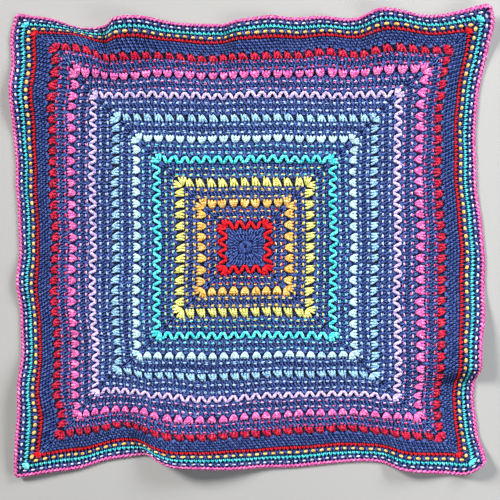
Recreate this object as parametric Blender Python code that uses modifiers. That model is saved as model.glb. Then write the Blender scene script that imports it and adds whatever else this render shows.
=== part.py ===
"""A square crochet blanket, worked in rounds from the middle and laid out on a flat surface.

The cloth is made flat first: a grid whose lines follow the rounds, given its thickness, with the
gaps of three openwork rounds cut through it. Every point is then moved to where the laid cloth
has it, by the hem's waves and by a short list of folds. Metres, +Z up, origin under the centre
ring.
"""

from math import cos, pi, radians, sin

import bmesh
import bpy
import numpy as np
from mathutils import Matrix

# Driving dimensions
HALF_SIDE = 0.405
CLOTH_THICKNESS = 0.003
GAP_WIDTH = 0.0070
GAP_INSET = 0.0008
NORMAL_STEP = 0.0005
HEM_POWER = 1.2
GATHER_PEAK = 4.2
GATHER_SPREAD = 1.5
SHARP_DEGREES = 40

# The grid's lines: distance from the centre, and how far the top stands above the plain cloth.
# Those that cross an openwork round pass between its gaps
GRID_LINES = (
    (0.0000, 0.0000),
    (0.0192, 0.0000),
    (0.0576, 0.0000),
    (0.0770, 0.0012),
    (0.0960, 0.0000),
    (0.1058, 0.0012),
    (0.1270, 0.0012),
    (0.1360, 0.0000),
    (0.1540, 0.0010),
    (0.1710, 0.0000),
    (0.1900, 0.0012),
    (0.2090, 0.0000),
    (0.2195, 0.0012),
    (0.2390, 0.0012),
    (0.2480, 0.0000),
    (0.2665, 0.0010),
    (0.2820, 0.0000),
    (0.3047, 0.0012),
    (0.3200, 0.0000),
    (0.3305, 0.0012),
    (0.3465, 0.0012),
    (0.3650, 0.0000),
    (0.3850, 0.0004),
    (0.4050, 0.0012),
)

# Coloured rounds: yarn, inner edge, outer edge. All between them is navy
ROUNDS = (
    ("red", 0.0310, 0.0470),
    ("orange", 0.0690, 0.0850),
    ("yellow", 0.1060, 0.1225),
    ("turquoise", 0.1465, 0.1615),
    ("pale_blue", 0.1830, 0.1970),
    ("blue", 0.2200, 0.2340),
    ("lilac", 0.2595, 0.2735),
    ("pink", 0.2970, 0.3125),
    ("crimson", 0.3315, 0.3450),
    ("red", 0.3655, 0.3725),
    ("turquoise", 0.3815, 0.3895),
    ("pink", 0.3975, 0.4060),
)

# Openwork rounds whose gaps are cut through: inner edge, outer edge, clusters between corners
OPENWORK = (
    (0.1060, 0.1225, 11),
    (0.2200, 0.2340, 23),
    (0.3315, 0.3450, 35),
)

# The hem of each side as it lies: place along the side, how far it stands out from the flat
# cloth's edge, and how far into the cloth that reaches. A row for each crest and each trough
HEM = {
    "top": (
        (-0.405, 0.006, 0.150),
        (-0.345, -0.007, 0.090),
        (-0.275, -0.022, 0.070),
        (-0.240, -0.013, 0.140),
        (-0.200, -0.007, 0.160),
        (-0.130, -0.011, 0.120),
        (-0.060, -0.013, 0.170),
        (0.000, -0.009, 0.150),
        (0.050, -0.001, 0.120),
        (0.094, -0.004, 0.120),
        (0.135, -0.001, 0.120),
        (0.180, -0.003, 0.120),
        (0.240, 0.007, 0.120),
        (0.300, -0.003, 0.120),
        (0.360, 0.007, 0.150),
        (0.405, 0.018, 0.150),
    ),
    "right": (
        (-0.405, 0.013, 0.120),
        (-0.355, 0.008, 0.120),
        (-0.310, 0.002, 0.120),
        (-0.270, -0.004, 0.140),
        (-0.225, 0.001, 0.160),
        (-0.180, 0.002, 0.150),
        (-0.130, 0.011, 0.140),
        (-0.085, 0.015, 0.130),
        (0.000, 0.013, 0.130),
        (0.090, 0.004, 0.150),
        (0.165, -0.001, 0.120),
        (0.225, -0.001, 0.120),
        (0.285, 0.008, 0.120),
        (0.345, 0.022, 0.120),
        (0.378, 0.027, 0.130),
        (0.405, 0.018, 0.150),
    ),
    "bottom": (
        (-0.405, -0.003, 0.150),
        (-0.345, -0.011, 0.300),
        (-0.290, -0.019, 0.340),
        (-0.230, -0.034, 0.300),
        (-0.190, -0.037, 0.220),
        (-0.155, -0.041, 0.130),
        (-0.118, -0.031, 0.100),
        (-0.066, -0.022, 0.140),
        (0.010, -0.019, 0.200),
        (0.066, -0.019, 0.250),
        (0.122, -0.023, 0.250),
        (0.195, -0.031, 0.240),
        (0.245, -0.026, 0.180),
        (0.285, -0.016, 0.170),
        (0.345, -0.009, 0.250),
        (0.378, -0.012, 0.120),
        (0.405, -0.032, 0.080),
    ),
    "left": (
        (-0.405, -0.003, 0.150),
        (-0.370, -0.002, 0.150),
        (-0.285, -0.011, 0.280),
        (-0.239, -0.011, 0.280),
        (-0.171, -0.013, 0.240),
        (-0.115, -0.012, 0.150),
        (-0.059, -0.007, 0.150),
        (0.000, -0.009, 0.150),
        (0.087, -0.006, 0.150),
        (0.143, -0.004, 0.120),
        (0.199, 0.001, 0.120),
        (0.262, 0.005, 0.120),
        (0.309, 0.003, 0.120),
        (0.365, 0.006, 0.120),
        (0.405, -0.003, 0.150),
    ),
}

# Folds: x and y of the crest's middle, heading of the crest line in degrees, half its length,
# width of the slope to the left of that heading and to the right, lift, and how much cloth
# is gathered in across the steeper slope
FOLDS = (
    (-0.214, 0.405, -90, 0.160, 0.140, 0.038, 0.025, 0.006),
    (-0.275, 0.325, 0, 0.070, 0.080, 0.060, 0.012, 0.000),
    (-0.006, 0.405, -90, 0.180, 0.130, 0.040, 0.013, 0.004),
    (0.135, 0.405, -90, 0.120, 0.050, 0.070, 0.008, 0.000),
    (0.246, 0.410, -90, 0.160, 0.100, 0.058, 0.022, 0.006),
    (0.420, 0.415, 225, 0.120, 0.100, 0.100, 0.016, 0.000),
    (-0.122, -0.385, 118, 0.220, 0.048, 0.200, 0.026, 0.008),
    (0.420, -0.192, 188, 0.210, 0.048, 0.150, 0.022, 0.006),
    (0.278, -0.390, 90, 0.130, 0.048, 0.100, 0.014, 0.004),
    (0.415, -0.392, 135, 0.070, 0.060, 0.060, 0.020, 0.000),
    (-0.410, 0.262, 0, 0.110, 0.090, 0.080, 0.011, 0.000),
    (-0.400, -0.059, 0, 0.080, 0.060, 0.060, 0.006, 0.000),
    (-0.400, -0.245, 0, 0.120, 0.070, 0.080, 0.006, 0.000),
    (-0.400, -0.310, 90, 0.170, 0.060, 0.150, 0.014, 0.000),
)

# Places where the cloth lies drawn aside in its own plane: x and y on the flat cloth, how far
# round them that reaches, and the shift there
TUGS = (
    (-0.330, 0.345, 0.100, 0.008, 0.014),
    (-0.295, 0.300, 0.080, 0.008, -0.003),
    (-0.215, 0.318, 0.070, 0.000, -0.005),
    (0.045, 0.325, 0.075, 0.000, -0.004),
    (0.145, 0.345, 0.070, 0.000, 0.005),
    (0.300, 0.335, 0.130, 0.013, 0.008),
    (-0.335, -0.330, 0.100, 0.014, 0.005),
    (-0.140, -0.288, 0.100, 0.000, 0.009),
    (0.120, -0.330, 0.110, 0.000, 0.004),
    (0.310, -0.290, 0.090, 0.000, 0.003),
)

# Yarn colours: red, green, blue
COLOURS = {
    "navy": (0.035, 0.060, 0.210),
    "red": (0.750, 0.015, 0.030),
    "orange": (0.900, 0.420, 0.130),
    "yellow": (0.900, 0.850, 0.280),
    "turquoise": (0.060, 0.640, 0.720),
    "pale_blue": (0.560, 0.850, 0.920),
    "blue": (0.250, 0.520, 0.850),
    "lilac": (0.620, 0.500, 0.900),
    "pink": (0.820, 0.150, 0.430),
    "crimson": (0.500, 0.020, 0.065),
}
YARN_ROUGHNESS = 0.85


def clear_scene():
    for obj in list(bpy.data.objects):
        bpy.data.objects.remove(obj, do_unlink=True)


def collection_named(name):
    collection = bpy.data.collections.new(name)
    bpy.context.scene.collection.children.link(collection)
    return collection


def yarn_material(name):
    material = bpy.data.materials.new(name + "_yarn")
    material.use_nodes = True
    shader = material.node_tree.nodes["Principled BSDF"]
    shader.inputs["Base Color"].default_value = (*COLOURS[name], 1.0)
    shader.inputs["Roughness"].default_value = YARN_ROUGHNESS
    shader.inputs["Metallic"].default_value = 0.0
    return material


def through(rows, column, along):
    """Smooth curve through one column of a hem's rows, read at each place along the side."""
    places = np.array([row[0] for row in rows])
    values = np.array([row[column] for row in rows])
    slopes = np.gradient(values, places)
    at = np.clip(along, places[0], places[-1])
    left = np.clip(np.searchsorted(places, at) - 1, 0, len(rows) - 2)
    span = places[left + 1] - places[left]
    x = (at - places[left]) / span
    rise = values[left + 1] - values[left]
    bend = x * (1 - x) * ((1 - x) * (slopes[left] * span - rise) - x * (slopes[left + 1] * span - rise))
    return values[left] + rise * x + bend


def hem_shift(side, along, distance):
    """How far a point moves out from the centre, for the hem of its own side."""
    out = through(HEM[side], 1, along)
    reach = through(HEM[side], 2, along)
    share = np.clip((distance - HALF_SIDE + reach) / reach, 0.0, None)
    return out * share**HEM_POWER


def swell(x):
    """Smooth hump: 1 at 0, and 0 with no slope from 1 on."""
    return np.clip(1 - x * x, 0, None) ** 3


def drape(u, v):
    """Where the laid cloth has the point that is at u, v on the flat cloth."""
    x = u + np.where(u > 0, hem_shift("right", v, abs(u)), -hem_shift("left", v, abs(u)))
    y = v + np.where(v > 0, hem_shift("top", u, abs(v)), -hem_shift("bottom", u, abs(v)))
    for tug_x, tug_y, reach, shift_x, shift_y in TUGS:
        share = swell(np.hypot(u - tug_x, v - tug_y) / reach)
        x = x + shift_x * share
        y = y + shift_y * share
    z = np.zeros_like(u)
    pull_x = np.zeros_like(u)
    pull_y = np.zeros_like(u)
    for fold_x, fold_y, heading, length, left, right, lift, gather in FOLDS:
        ahead = (cos(radians(heading)), sin(radians(heading)))
        forward = (x - fold_x) * ahead[0] + (y - fold_y) * ahead[1]
        aside = (y - fold_y) * ahead[0] - (x - fold_x) * ahead[1]
        along_crest = swell(forward / length)
        z = z + lift * along_crest * swell(aside / np.where(aside > 0, left, right))
        steep = left if left < right else -right
        offset = (aside - steep / 2) / (abs(steep) * GATHER_SPREAD)
        pull = -gather * GATHER_PEAK * offset * swell(offset) * along_crest
        pull_x = pull_x - pull * ahead[1]
        pull_y = pull_y + pull * ahead[0]
    return np.stack([x + pull_x, y + pull_y, z], axis=-1)


def laid_point(u, v, height):
    """The draped point, raised by its height above the cloth's underside."""
    here = drape(u, v)
    across = drape(u + NORMAL_STEP, v) - here
    up_cloth = drape(u, v + NORMAL_STEP) - here
    normal = np.cross(across, up_cloth)
    normal = normal / np.linalg.norm(normal, axis=-1, keepdims=True)
    return here + normal * height[:, None]


def flat_cloth():
    """The cloth before it is laid out: a grid with its lines on the rounds, and its thickness."""
    distances = [line[0] for line in GRID_LINES]
    lines = sorted([-distance for distance in distances[1:]] + distances)
    cells = len(lines) - 1
    mesh = bpy.data.meshes.new("flat_cloth")
    work = bmesh.new()
    bmesh.ops.create_grid(work, x_segments=cells, y_segments=cells, size=1.0)
    for vertex in work.verts:
        column = round((vertex.co.x + 1) / 2 * cells)
        row = round((vertex.co.y + 1) / 2 * cells)
        vertex.co = (lines[column], lines[row], 0.0)
    work.to_mesh(mesh)
    work.free()
    cloth = bpy.data.objects.new("blanket", mesh)
    thicken = cloth.modifiers.new("thickness", "SOLIDIFY")
    thicken.thickness = CLOTH_THICKNESS
    thicken.offset = 1.0
    return cloth


def gap_cutter():
    """Triangular prisms in the gaps of the openwork rounds, wide on the side of the hem."""
    mesh = bpy.data.meshes.new("gap_cutter")
    work = bmesh.new()
    for inner, outer, clusters in OPENWORK:
        pitch = (inner + outer) / (clusters + 1)
        depth = outer - inner - 2 * GAP_INSET
        for side in range(len(HEM)):
            for gap in range(clusters + 1):
                along = (gap - clusters / 2) * pitch
                place = (
                    Matrix.Rotation(side * pi / 2, 4, "Z")
                    @ Matrix.Translation((along, outer - GAP_INSET - depth / 3, 0))
                    @ Matrix.Diagonal((GAP_WIDTH / 3**0.5, depth / 1.5, 1, 1))
                    @ Matrix.Rotation(pi, 4, "Z")
                )
                bmesh.ops.create_cone(
                    work, segments=3, cap_ends=True, radius1=1, radius2=1,
                    depth=4 * CLOTH_THICKNESS, matrix=place,
                )
    work.to_mesh(mesh)
    work.free()
    cutter = bpy.data.objects.new("gap_cutter", mesh)
    cutter.hide_render = True
    cutter.display_type = "WIRE"
    return cutter


def cut_gaps(cloth, cutter):
    """Cuts the gaps and leaves the cloth's own mesh cut, in triangles and with no modifier."""
    cut = cloth.modifiers.new("gaps", "BOOLEAN")
    cut.operation = "DIFFERENCE"
    cut.solver = "EXACT"
    cut.object = cutter
    graph = bpy.context.evaluated_depsgraph_get()
    mesh = bpy.data.meshes.new_from_object(cloth.evaluated_get(graph))
    work = bmesh.new()
    work.from_mesh(mesh)
    bmesh.ops.triangulate(work, faces=work.faces[:])
    work.to_mesh(mesh)
    work.free()
    cloth.modifiers.clear()
    cloth.data = mesh


def colour_rounds(mesh):
    """A yarn for each face, by the round that its middle lies in."""
    names = list(COLOURS)
    mesh.materials.clear()
    for name in names:
        mesh.materials.append(yarn_material(name))
    for face in mesh.polygons:
        distance = max(abs(face.center.x), abs(face.center.y))
        for name, inner, outer in ROUNDS:
            if inner <= distance < outer:
                face.material_index = names.index(name)


def lay_out(mesh):
    """Raises the thick rounds and moves every point to where the laid cloth has it."""
    points = np.empty(len(mesh.vertices) * 3)
    mesh.vertices.foreach_get("co", points)
    u, v, height = points.reshape(-1, 3).T
    distances = [line[0] for line in GRID_LINES]
    reliefs = [line[1] for line in GRID_LINES]
    relief = np.interp(np.maximum(abs(u), abs(v)), distances, reliefs)
    height = np.where(height > CLOTH_THICKNESS / 2, height + relief, height)
    mesh.vertices.foreach_set("co", laid_point(u, v, height).ravel())
    mesh.shade_smooth()
    mesh.set_sharp_from_angle(angle=radians(SHARP_DEGREES))
    mesh.update()


def main():
    clear_scene()
    cloth = flat_cloth()
    collection_named("crochet_blanket").objects.link(cloth)
    cutter = gap_cutter()
    collection_named("cutters").objects.link(cutter)
    cut_gaps(cloth, cutter)
    colour_rounds(cloth.data)
    lay_out(cloth.data)


main()
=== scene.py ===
# %% [markdown]
# # A square crochet blanket
# The real blanket is one piece of crochet in double-knitting yarn. It starts at a ring in the middle
# and grows in square rounds: plain navy rounds flecked with coloured dashes, and between them nine
# openwork rounds of zigzags and three-stitch clusters. A rope edging closes it.
#
# Every stitch here is made of yarn strands. Each strand is first placed on the flat cloth, where the
# rounds are squares, and then one function lays the flat cloth out with its waves and folds. That
# keeps the shapes of the stitches and the shape of the cloth apart, as they are in the hand.

from math import atan, cos, pi, radians, sin, tan

import bpy
import numpy as np
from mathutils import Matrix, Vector


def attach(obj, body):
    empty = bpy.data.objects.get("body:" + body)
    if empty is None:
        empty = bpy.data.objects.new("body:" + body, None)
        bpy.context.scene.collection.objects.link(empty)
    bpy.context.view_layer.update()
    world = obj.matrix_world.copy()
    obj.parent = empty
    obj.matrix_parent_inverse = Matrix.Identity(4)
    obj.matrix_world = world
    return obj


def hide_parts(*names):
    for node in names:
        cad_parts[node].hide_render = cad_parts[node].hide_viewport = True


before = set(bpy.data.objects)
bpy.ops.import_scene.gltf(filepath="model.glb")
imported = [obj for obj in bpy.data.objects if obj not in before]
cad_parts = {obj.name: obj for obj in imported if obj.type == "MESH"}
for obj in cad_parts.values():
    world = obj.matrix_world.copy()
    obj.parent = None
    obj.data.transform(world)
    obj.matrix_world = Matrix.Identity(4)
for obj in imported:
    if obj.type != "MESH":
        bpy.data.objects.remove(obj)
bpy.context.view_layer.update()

# %% [markdown]
# ## Sizes
# Millimetres are the natural unit of a stitch, so stitches are drawn in millimetres and scaled by MM.
# The rounds are listed by their distance from the centre, in metres.

# %% Driving dimensions
MM = 0.001
HALF_SIDE = 0.405
RING_HOLE = 0.0032
MOSS_PITCH = 0.00625
DASH_PITCH = 0.0125
DASH_MARGIN = 0.0030
EDGING_PITCH = 0.0069
SEED = 11

# Openwork rounds: yarn, kind of stitch, inner edge, outer edge, clusters between the corners
ROUNDS = (
    ("red", "zigzag", 0.0310, 0.0470, 3),
    ("orange", "shell", 0.0690, 0.0850, 7),
    ("yellow", "gathered", 0.1060, 0.1225, 11),
    ("turquoise", "zigzag", 0.1465, 0.1615, 15),
    ("pale_blue", "shell", 0.1830, 0.1970, 19),
    ("blue", "gathered", 0.2200, 0.2340, 23),
    ("lilac", "zigzag", 0.2595, 0.2735, 27),
    ("pink", "shell", 0.2970, 0.3125, 31),
    ("crimson", "gathered", 0.3315, 0.3450, 35),
)

# Two rows of dashes after each openwork round but the last: distance, inner yarn, outer yarn
DASH_ROWS = (
    (0.0520, "red", "yellow"),
    (0.0635, "red", "yellow"),
    (0.0890, "orange", "yellow"),
    (0.1015, "orange", "yellow"),
    (0.1270, "yellow", "turquoise"),
    (0.1385, "yellow", "turquoise"),
    (0.1660, "turquoise", "pale_blue"),
    (0.1775, "turquoise", "pale_blue"),
    (0.2020, "pale_blue", "blue"),
    (0.2150, "pale_blue", "blue"),
    (0.2405, "blue", "white"),
    (0.2530, "blue", "white"),
    (0.2780, "white", "pink"),
    (0.2910, "white", "pink"),
    (0.3160, "pink", "crimson"),
    (0.3280, "pink", "crimson"),
)

# Cloth under the stitches, navy beneath and painted nearly black on top as painted shadow; it runs
# across the ring in the middle and under the gaps of the shells and zigzags. It is left out under the
# gathered rounds, whose gaps are open.
BACKED = (
    (0.0003, 0.1115),
    (0.1218, 0.2250),
    (0.2334, 0.3362),
    (0.3444, 0.4005),
)
print(len(ROUNDS), "openwork rounds,", len(DASH_ROWS), "rows of dashes")

# %% [markdown]
# ## The hem of the laid cloth
# A crochet square never lies dead flat: its hem waves in and out. Modelling that by hand, point by
# point, would be slow to change. Here each side has a short table, and a smooth curve runs through
# its rows. The wave fades out towards the middle of the cloth.

# %% The hem's table
# place along the side, how far the hem stands out, how far into the cloth that reaches
HEM = {
    "top": (
        (-0.405, 0.006, 0.150),
        (-0.345, -0.007, 0.090),
        (-0.275, -0.022, 0.070),
        (-0.240, -0.013, 0.140),
        (-0.200, -0.007, 0.160),
        (-0.130, -0.011, 0.120),
        (-0.060, -0.013, 0.170),
        (0.000, -0.009, 0.150),
        (0.050, -0.001, 0.120),
        (0.094, -0.004, 0.120),
        (0.135, -0.001, 0.120),
        (0.180, -0.003, 0.120),
        (0.240, 0.007, 0.120),
        (0.300, -0.003, 0.120),
        (0.360, 0.007, 0.150),
        (0.405, 0.018, 0.150),
    ),
    "right": (
        (-0.405, 0.013, 0.120),
        (-0.355, 0.008, 0.120),
        (-0.310, 0.002, 0.120),
        (-0.270, -0.004, 0.140),
        (-0.225, 0.001, 0.160),
        (-0.180, 0.002, 0.150),
        (-0.130, 0.011, 0.140),
        (-0.085, 0.015, 0.130),
        (0.000, 0.013, 0.130),
        (0.090, 0.004, 0.150),
        (0.165, -0.001, 0.120),
        (0.225, -0.001, 0.120),
        (0.285, 0.008, 0.120),
        (0.345, 0.022, 0.120),
        (0.378, 0.027, 0.130),
        (0.405, 0.018, 0.150),
    ),
    "bottom": (
        (-0.405, -0.003, 0.150),
        (-0.345, -0.011, 0.300),
        (-0.290, -0.019, 0.340),
        (-0.230, -0.034, 0.300),
        (-0.190, -0.037, 0.220),
        (-0.155, -0.041, 0.130),
        (-0.118, -0.031, 0.100),
        (-0.066, -0.022, 0.140),
        (0.010, -0.019, 0.200),
        (0.066, -0.019, 0.250),
        (0.122, -0.023, 0.250),
        (0.195, -0.031, 0.240),
        (0.245, -0.026, 0.180),
        (0.285, -0.016, 0.170),
        (0.345, -0.009, 0.250),
        (0.378, -0.012, 0.120),
        (0.405, -0.032, 0.080),
    ),
    "left": (
        (-0.405, -0.003, 0.150),
        (-0.370, -0.002, 0.150),
        (-0.285, -0.011, 0.280),
        (-0.239, -0.011, 0.280),
        (-0.171, -0.013, 0.240),
        (-0.115, -0.012, 0.150),
        (-0.059, -0.007, 0.150),
        (0.000, -0.009, 0.150),
        (0.087, -0.006, 0.150),
        (0.143, -0.004, 0.120),
        (0.199, 0.001, 0.120),
        (0.262, 0.005, 0.120),
        (0.309, 0.003, 0.120),
        (0.365, 0.006, 0.120),
        (0.405, -0.003, 0.150),
    ),
}

HEM_POWER = 1.2
print(sum(len(rows) for rows in HEM.values()), "places along the hem")

# %% [markdown]
# ## Folds
# A few soft folds run in from the edge. A cloth simulation would give some folds, but not these, so
# each one is a hump of its own: a crest line, a slope on either side of it, and a lift. The steeper
# slope also draws the cloth in. Besides, in some places the cloth simply lies drawn aside.

# %% The folds' table
# x and y of the crest's middle, heading of the crest line in degrees, half its length, width of
# the slope to the left of that heading and to the right, lift, cloth gathered in
FOLDS = (
    (-0.214, 0.405, -90, 0.160, 0.140, 0.038, 0.025, 0.006),
    (-0.275, 0.325, 0, 0.070, 0.080, 0.060, 0.012, 0.000),
    (-0.006, 0.405, -90, 0.180, 0.130, 0.040, 0.013, 0.004),
    (0.135, 0.405, -90, 0.120, 0.050, 0.070, 0.008, 0.000),
    (0.246, 0.410, -90, 0.160, 0.100, 0.058, 0.022, 0.006),
    (0.420, 0.415, 225, 0.120, 0.100, 0.100, 0.016, 0.000),
    (-0.122, -0.385, 118, 0.220, 0.048, 0.200, 0.026, 0.008),
    (0.420, -0.192, 188, 0.210, 0.048, 0.150, 0.022, 0.006),
    (0.278, -0.390, 90, 0.130, 0.048, 0.100, 0.014, 0.004),
    (0.415, -0.392, 135, 0.070, 0.060, 0.060, 0.020, 0.000),
    (-0.410, 0.262, 0, 0.110, 0.090, 0.080, 0.011, 0.000),
    (-0.400, -0.059, 0, 0.080, 0.060, 0.060, 0.006, 0.000),
    (-0.400, -0.245, 0, 0.120, 0.070, 0.080, 0.006, 0.000),
    (-0.400, -0.310, 90, 0.170, 0.060, 0.150, 0.014, 0.000),
)

# Places where the cloth lies drawn aside: x and y on the flat cloth, how far round them that
# reaches, and the shift there
TUGS = (
    (-0.330, 0.345, 0.100, 0.008, 0.014),
    (-0.295, 0.300, 0.080, 0.008, -0.003),
    (-0.215, 0.318, 0.070, 0.000, -0.005),
    (0.045, 0.325, 0.075, 0.000, -0.004),
    (0.145, 0.345, 0.070, 0.000, 0.005),
    (0.300, 0.335, 0.130, 0.013, 0.008),
    (-0.335, -0.330, 0.100, 0.014, 0.005),
    (-0.140, -0.288, 0.100, 0.000, 0.009),
    (0.120, -0.330, 0.110, 0.000, 0.004),
    (0.310, -0.290, 0.090, 0.000, 0.003),
)
print(len(FOLDS), "folds,", len(TUGS), "places drawn aside")

# %% [markdown]
# ## From the flat cloth to the laid one
# One function takes any point of the flat cloth to its place as the cloth lies. A point that stands
# above the flat cloth then stands as far above the laid cloth, along its normal. So every stitch can
# be drawn on a flat square, and the folds bend it.

# %% Laying the cloth out
GATHER_PEAK = 4.2
GATHER_SPREAD = 1.5
NORMAL_STEP = 0.0005


def through(rows, column, along):
    """Smooth curve through one column of a hem's rows, read at each place along the side."""
    places = np.array([row[0] for row in rows])
    values = np.array([row[column] for row in rows])
    slopes = np.gradient(values, places)
    at = np.clip(along, places[0], places[-1])
    left = np.clip(np.searchsorted(places, at) - 1, 0, len(rows) - 2)
    span = places[left + 1] - places[left]
    x = (at - places[left]) / span
    rise = values[left + 1] - values[left]
    bend = x * (1 - x) * ((1 - x) * (slopes[left] * span - rise) - x * (slopes[left + 1] * span - rise))
    return values[left] + rise * x + bend


def hem_shift(side, along, distance):
    """How far a point moves out: the hem's own shift times (share of its reach) ** HEM_POWER."""
    out = through(HEM[side], 1, along)
    reach = through(HEM[side], 2, along)
    share = np.clip((distance - HALF_SIDE + reach) / reach, 0.0, None)
    return out * share**HEM_POWER


def swell(x):
    """Smooth hump: (1 - x * x) ** 3 between -1 and 1, and 0 outside."""
    return np.clip(1 - x * x, 0, None) ** 3


def drape(u, v):
    """Where the laid cloth has the point that is at u, v on the flat cloth.

    The hem moves the point out, and each tug moves it by its shift * hump(distance / reach). The
    height is the sum of lift * hump along the crest * hump across it. The pull draws both sides
    of the steeper slope towards its middle, as cloth is drawn in where it rises.
    """
    x = u + np.where(u > 0, hem_shift("right", v, abs(u)), -hem_shift("left", v, abs(u)))
    y = v + np.where(v > 0, hem_shift("top", u, abs(v)), -hem_shift("bottom", u, abs(v)))
    for tug_x, tug_y, reach, shift_x, shift_y in TUGS:
        share = swell(np.hypot(u - tug_x, v - tug_y) / reach)
        x = x + shift_x * share
        y = y + shift_y * share
    z = np.zeros_like(u)
    pull_x = np.zeros_like(u)
    pull_y = np.zeros_like(u)
    for fold_x, fold_y, heading, length, left, right, lift, gather in FOLDS:
        ahead = (cos(radians(heading)), sin(radians(heading)))
        forward = (x - fold_x) * ahead[0] + (y - fold_y) * ahead[1]
        aside = (y - fold_y) * ahead[0] - (x - fold_x) * ahead[1]
        along_crest = swell(forward / length)
        z = z + lift * along_crest * swell(aside / np.where(aside > 0, left, right))
        steep = left if left < right else -right
        offset = (aside - steep / 2) / (abs(steep) * GATHER_SPREAD)
        pull = -gather * GATHER_PEAK * offset * swell(offset) * along_crest
        pull_x = pull_x - pull * ahead[1]
        pull_y = pull_y + pull * ahead[0]
    return np.stack([x + pull_x, y + pull_y, z], axis=-1)


def laid(flat):
    """Flat cloth points (u, v, height) to space: the draped point plus height times its normal."""
    u, v, height = flat.T
    here = drape(u, v)
    across = drape(u + NORMAL_STEP, v) - here
    up_cloth = drape(u, v + NORMAL_STEP) - here
    normal = np.cross(across, up_cloth)
    normal = normal / np.linalg.norm(normal, axis=-1, keepdims=True)
    return here + normal * height[:, None]


flat_places = np.meshgrid(*[np.linspace(-HALF_SIDE, HALF_SIDE, 82)] * 2)
print("the folds lift the cloth by", round(drape(*flat_places)[..., 2].max(), 4), "m")

# %% [markdown]
# ## Yarn as tubes
# A crochet stitch is a loop of yarn, and what shows of it is a few short strands that rise from
# between their neighbours and dive under again. Each is a tube that starts and ends in a point. All
# tubes of a kind are worked out together, as one array of rings.

# %% A helper that turns paths into tubes of yarn
def strands(paths, radii, sides, tones, squash=0.85):
    """Closed tubes round many paths at once.

    paths is (strands, rings + 2, 3). The first and last points are the tips, and round each of the
    others stands a ring: centre + radius * (cos(angle) * sideways + squash * sin(angle) * up), with
    sideways = ahead x vertical and up = sideways x ahead. The uv map holds the length along the
    strand and the share of the way round it.
    """
    count, rings = radii.shape
    ahead = paths[:, 2:] - paths[:, :-2]
    sideways = np.cross(ahead, (0.0, 0.0, 1.0))
    sideways = sideways / np.linalg.norm(sideways, axis=-1, keepdims=True)
    up = np.cross(sideways, ahead)
    up = up / np.linalg.norm(up, axis=-1, keepdims=True)
    angle = 2 * pi * np.arange(sides)[:, None] / sides
    round_it = np.cos(angle) * sideways[:, :, None] + squash * np.sin(angle) * up[:, :, None]
    ring = paths[:, 1:-1, None] + radii[:, :, None, None] * round_it
    points = np.concatenate([paths[:, :1], ring.reshape(count, -1, 3), paths[:, -1:]], axis=1)
    steps = np.linalg.norm(np.diff(paths, axis=1), axis=-1)
    length = np.concatenate([np.zeros((count, 1)), np.cumsum(steps, axis=1)], axis=1)

    this = np.arange(sides)
    after = (this + 1) % sides
    here = (1 + sides * np.arange(rings - 1))[:, None]
    wall = np.stack([here + this, here + sides + this, here + sides + after, here + after], axis=-1)
    row = np.arange(1, rings)[:, None, None]
    wall_step = np.broadcast_to(row + np.array([0, 1, 1, 0]), (rings - 1, sides, 4))
    wall_turn = np.broadcast_to(this[:, None] + np.array([0, 0, 1, 1]), (rings - 1, sides, 4)) / sides
    last = 1 + sides * rings
    start_cap = np.stack([0 * this, 1 + this, 1 + after], axis=-1)
    end_cap = np.stack([0 * this + last, last - sides + after, last - sides + this], axis=-1)
    cap_step = np.array([[0, 1, 1]] * sides + [[rings + 1, rings, rings]] * sides)
    cap_turn = np.concatenate([this[:, None] + [0.5, 0, 1], this[:, None] + [0.5, 1, 0]]) / sides

    offset = (np.arange(count) * (last + 1))[:, None, None]
    quads = (offset + wall.reshape(1, -1, 4)).reshape(-1, 4)
    tris = (offset + np.concatenate([start_cap, end_cap])[None]).reshape(-1, 3)
    quad_u = length[:, wall_step.reshape(-1, 4)].reshape(-1, 4)
    quad_v = np.tile(wall_turn.reshape(-1, 4), (count, 1))
    tri_u = length[:, cap_step].reshape(-1, 3)
    tri_v = np.tile(cap_turn, (count, 1))
    return {
        "points": points.reshape(-1, 3),
        "tone": np.repeat(tones, last + 1),
        "quads": quads,
        "tris": tris,
        "quad_uv": np.stack([quad_u, quad_v], axis=-1),
        "tri_uv": np.stack([tri_u, tri_v], axis=-1),
    }


# %% [markdown]
# ## From strands to one mesh
# The strands of a piece become one mesh, written with whole arrays. Two attributes go with it for the
# material: tone, which differs a little from stitch to stitch as hand-dyed yarn does, and depth, which
# is 0 low between the strands and 1 on top of them, and which sets the painted shade there.

# %% A helper that joins strands, lays them out and makes the piece
# Heights over the flat cloth where depth is 0, full painted shade, and where it is 1, for most pieces
LOW = 0.0012
HIGH = 0.0034


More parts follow.
